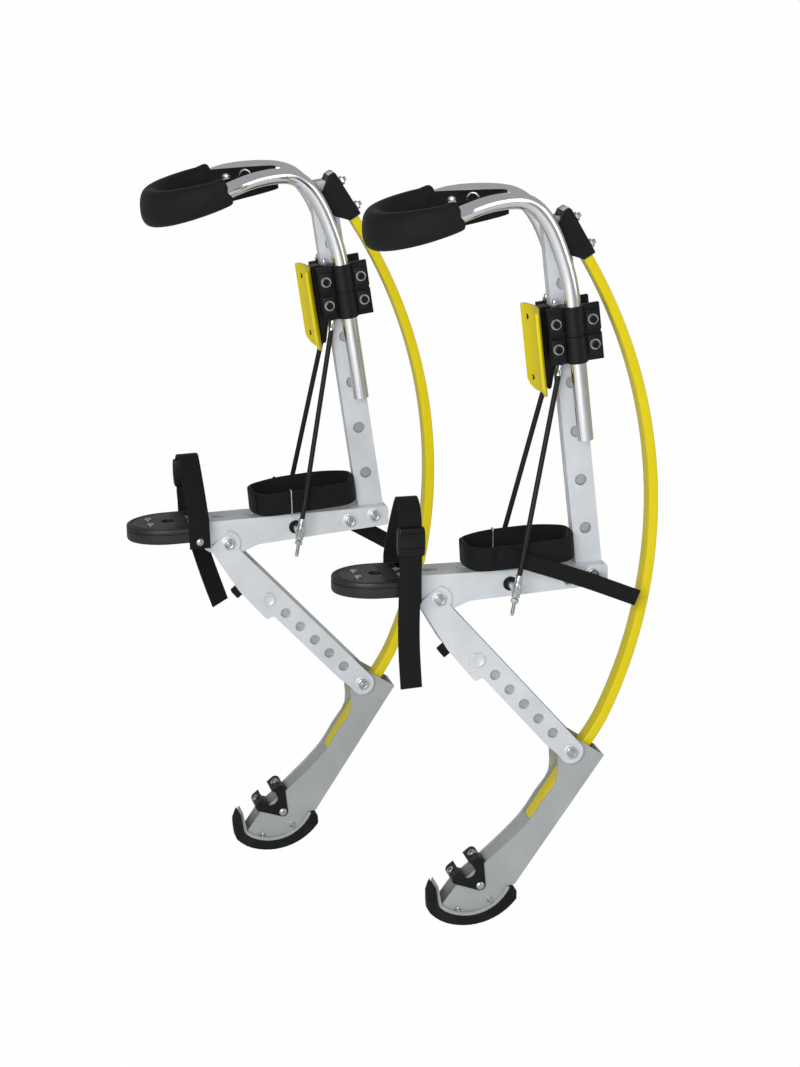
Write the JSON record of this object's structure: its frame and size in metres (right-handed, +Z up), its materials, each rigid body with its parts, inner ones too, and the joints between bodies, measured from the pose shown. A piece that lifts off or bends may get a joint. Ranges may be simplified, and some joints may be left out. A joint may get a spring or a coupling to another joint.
{
  "type": "pair of jumping stilts",
  "caption": "Pair of jumping stilts: foot frame and upright with a bowed leaf spring, a linked leg with a rubber hoof, strapped foot bed and sliding padded knee cuff.",
  "frame": {"origin": "top of the left toe plate, under the ball of the foot", "axes": "+Z up along the legs, toes towards -X, the right stilt towards +Y and ahead of the left one"},
  "size_m": [0.6179, 0.4556, 0.9304],
  "materials": {
    "silver_alloy": "satin silver",
    "chrome_tube": "polished",
    "zinc_steel": "bright zinc",
    "black_paint": "satin black powder coat",
    "black_plastic": "matte moulded",
    "black_foam": "soft foam skin",
    "black_webbing": "woven webbing",
    "black_cable": "sheathed cable",
    "black_rubber": "matte rubber",
    "yellow_spring": "gloss fibre-reinforced leaf",
    "yellow_plate": "gloss moulded plate"
  },
  "bodies": {
    "frames": {"left_foot_frame": "silver_alloy", "left_toe_plate": "black_plastic", "left_upright": "silver_alloy", "left_top_bracket": "black_paint", "left_spring": "yellow_spring", "left_clamp_outer": "black_paint", "left_clamp_inner": "black_paint", "left_calf_plate": "yellow_plate", "left_calf_bracket": "black_paint", "left_tie_cable_outer": "black_cable", "left_tie_cable_inner": "black_cable", "left_cable_anchor": "zinc_steel", "left_toe_strap": "black_webbing", "left_toe_strap_tail": "black_webbing", "left_toe_keeper": "black_plastic", "left_heel_strap": "black_webbing", "left_heel_strap_tail": "black_webbing", "left_heel_bolt": "zinc_steel", "right_foot_frame": "silver_alloy", "right_toe_plate": "black_plastic", "right_upright": "silver_alloy", "right_top_bracket": "black_paint", "right_spring": "yellow_spring", "right_clamp_outer": "black_paint", "right_clamp_inner": "black_paint", "right_calf_plate": "yellow_plate", "right_calf_bracket": "black_paint", "right_tie_cable_outer": "black_cable", "right_tie_cable_inner": "black_cable", "right_cable_anchor": "zinc_steel", "right_toe_strap": "black_webbing", "right_toe_strap_tail": "black_webbing", "right_toe_keeper": "black_plastic", "right_heel_strap": "black_webbing", "right_heel_strap_tail": "black_webbing", "right_heel_bolt": "zinc_steel"},
    "left_link": {"left_link": "silver_alloy", "left_link_pin": "zinc_steel", "left_link_bumper": "black_rubber", "left_link_bolt": "zinc_steel"},
    "left_leg": {"left_leg": "silver_alloy", "left_leg_bolt": "zinc_steel", "left_spring_clamp": "black_paint", "left_hoof_sole": "black_rubber"},
    "left_knee_bar": {"left_knee_tube_outer": "chrome_tube", "left_knee_tube_inner": "chrome_tube", "left_knee_cuff": "black_foam", "left_knee_strap": "black_webbing"},
    "right_link": {"right_link": "silver_alloy", "right_link_pin": "zinc_steel", "right_link_bumper": "black_rubber", "right_link_bolt": "zinc_steel"},
    "right_leg": {"right_leg": "silver_alloy", "right_leg_bolt": "zinc_steel", "right_spring_clamp": "black_paint", "right_hoof_sole": "black_rubber"},
    "right_knee_bar": {"right_knee_tube_outer": "chrome_tube", "right_knee_tube_inner": "chrome_tube", "right_knee_cuff": "black_foam", "right_knee_strap": "black_webbing"}
  },
  "joints": [
    {"name": "left_link_pivot", "type": "hinge", "parent": "frames", "child": "left_link", "pos_m": [0.048, 0, -0.03], "axis": [0, -1, 0], "range_deg": [0, 25.8], "stiffness_Nm_per_rad": 350, "deforming": ["left_spring"]},
    {"name": "left_leg_pivot", "type": "hinge", "parent": "left_link", "child": "left_leg", "pos_m": [0.21792, 0, -0.23983], "axis": [0, -1, 0], "range_deg": [-41.28, 0], "deforming": ["left_spring"]},
    {"name": "left_knee_bar_slide", "type": "slide", "parent": "frames", "child": "left_knee_bar", "axis": [-0.1115, 0, 0.9938], "range_m": [-0.012, 0.058]},
    {"name": "right_link_pivot", "type": "hinge", "parent": "frames", "child": "right_link", "pos_m": [-0.16, 0.308, -0.0316], "axis": [0, -1, 0], "range_deg": [0, 25.8], "stiffness_Nm_per_rad": 350, "deforming": ["right_spring"]},
    {"name": "right_leg_pivot", "type": "hinge", "parent": "right_link", "child": "right_leg", "pos_m": [0.01696, 0.308, -0.23553], "axis": [0, -1, 0], "range_deg": [-41.28, 0], "deforming": ["right_spring"]},
    {"name": "right_knee_bar_slide", "type": "slide", "parent": "frames", "child": "right_knee_bar", "axis": [-0.1452, 0, 0.9894], "range_m": [-0.001, 0.069]}
  ],
  "couplings": [
    {"joint": "left_leg_pivot", "follows": "left_link_pivot", "ratio": -1.6},
    {"joint": "right_leg_pivot", "follows": "right_link_pivot", "ratio": -1.6}
  ]
}
